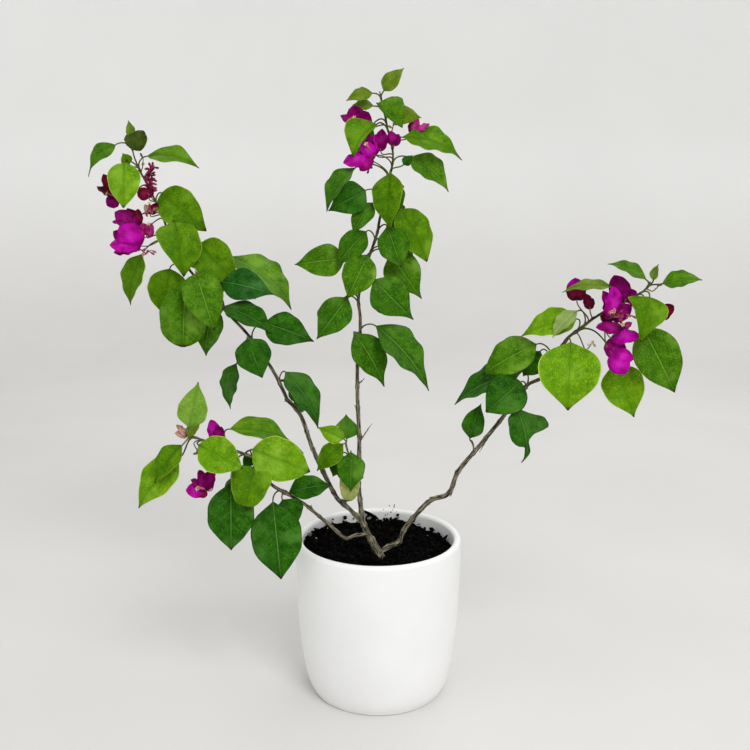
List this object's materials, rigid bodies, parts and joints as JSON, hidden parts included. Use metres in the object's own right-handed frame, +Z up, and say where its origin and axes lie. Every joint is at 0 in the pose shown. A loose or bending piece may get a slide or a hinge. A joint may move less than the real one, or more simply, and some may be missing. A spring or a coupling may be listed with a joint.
{
  "type": "potted flowering shrub",
  "caption": "Young bougainvillea bush with slender forking canes, broad pointed leaves and magenta bracts, in a round white ceramic pot.",
  "frame": {"origin": "centre of the pot's flat underside, on the ground", "axes": "+Z up along the pot's axis; +X to the right and +Y away from the viewer as the plant is pictured"},
  "size_m": [0.4822, 0.2213, 0.5161],
  "materials": {
    "ceramic": "satin white glaze",
    "mix": "matt dark crumbs",
    "bark": "grey-brown bark, olive on the young wood",
    "foliage": "soft-sheened green leaves with magenta bracts"
  },
  "bodies": {
    "root": {"pot": "ceramic", "potting_mix": "mix", "trunk": "bark", "bough_centre": "bark", "bough_left": "bark", "bough_low_left": "bark", "bough_right": "bark", "leaves_left_low": "foliage", "leaves_left_middle": "foliage", "leaves_left_top": "foliage", "leaves_centre_low": "foliage", "leaves_centre_middle": "foliage", "leaves_centre_top": "foliage", "leaf_right_spur": "foliage", "leaf_right_hanging": "foliage", "leaves_right_low": "foliage", "leaves_right_middle": "foliage", "leaves_right_tip": "foliage", "leaves_low_left_middle": "foliage", "leaves_low_left_tip": "foliage", "leaves_side_shoot": "foliage"}
  },
  "joints": []
}
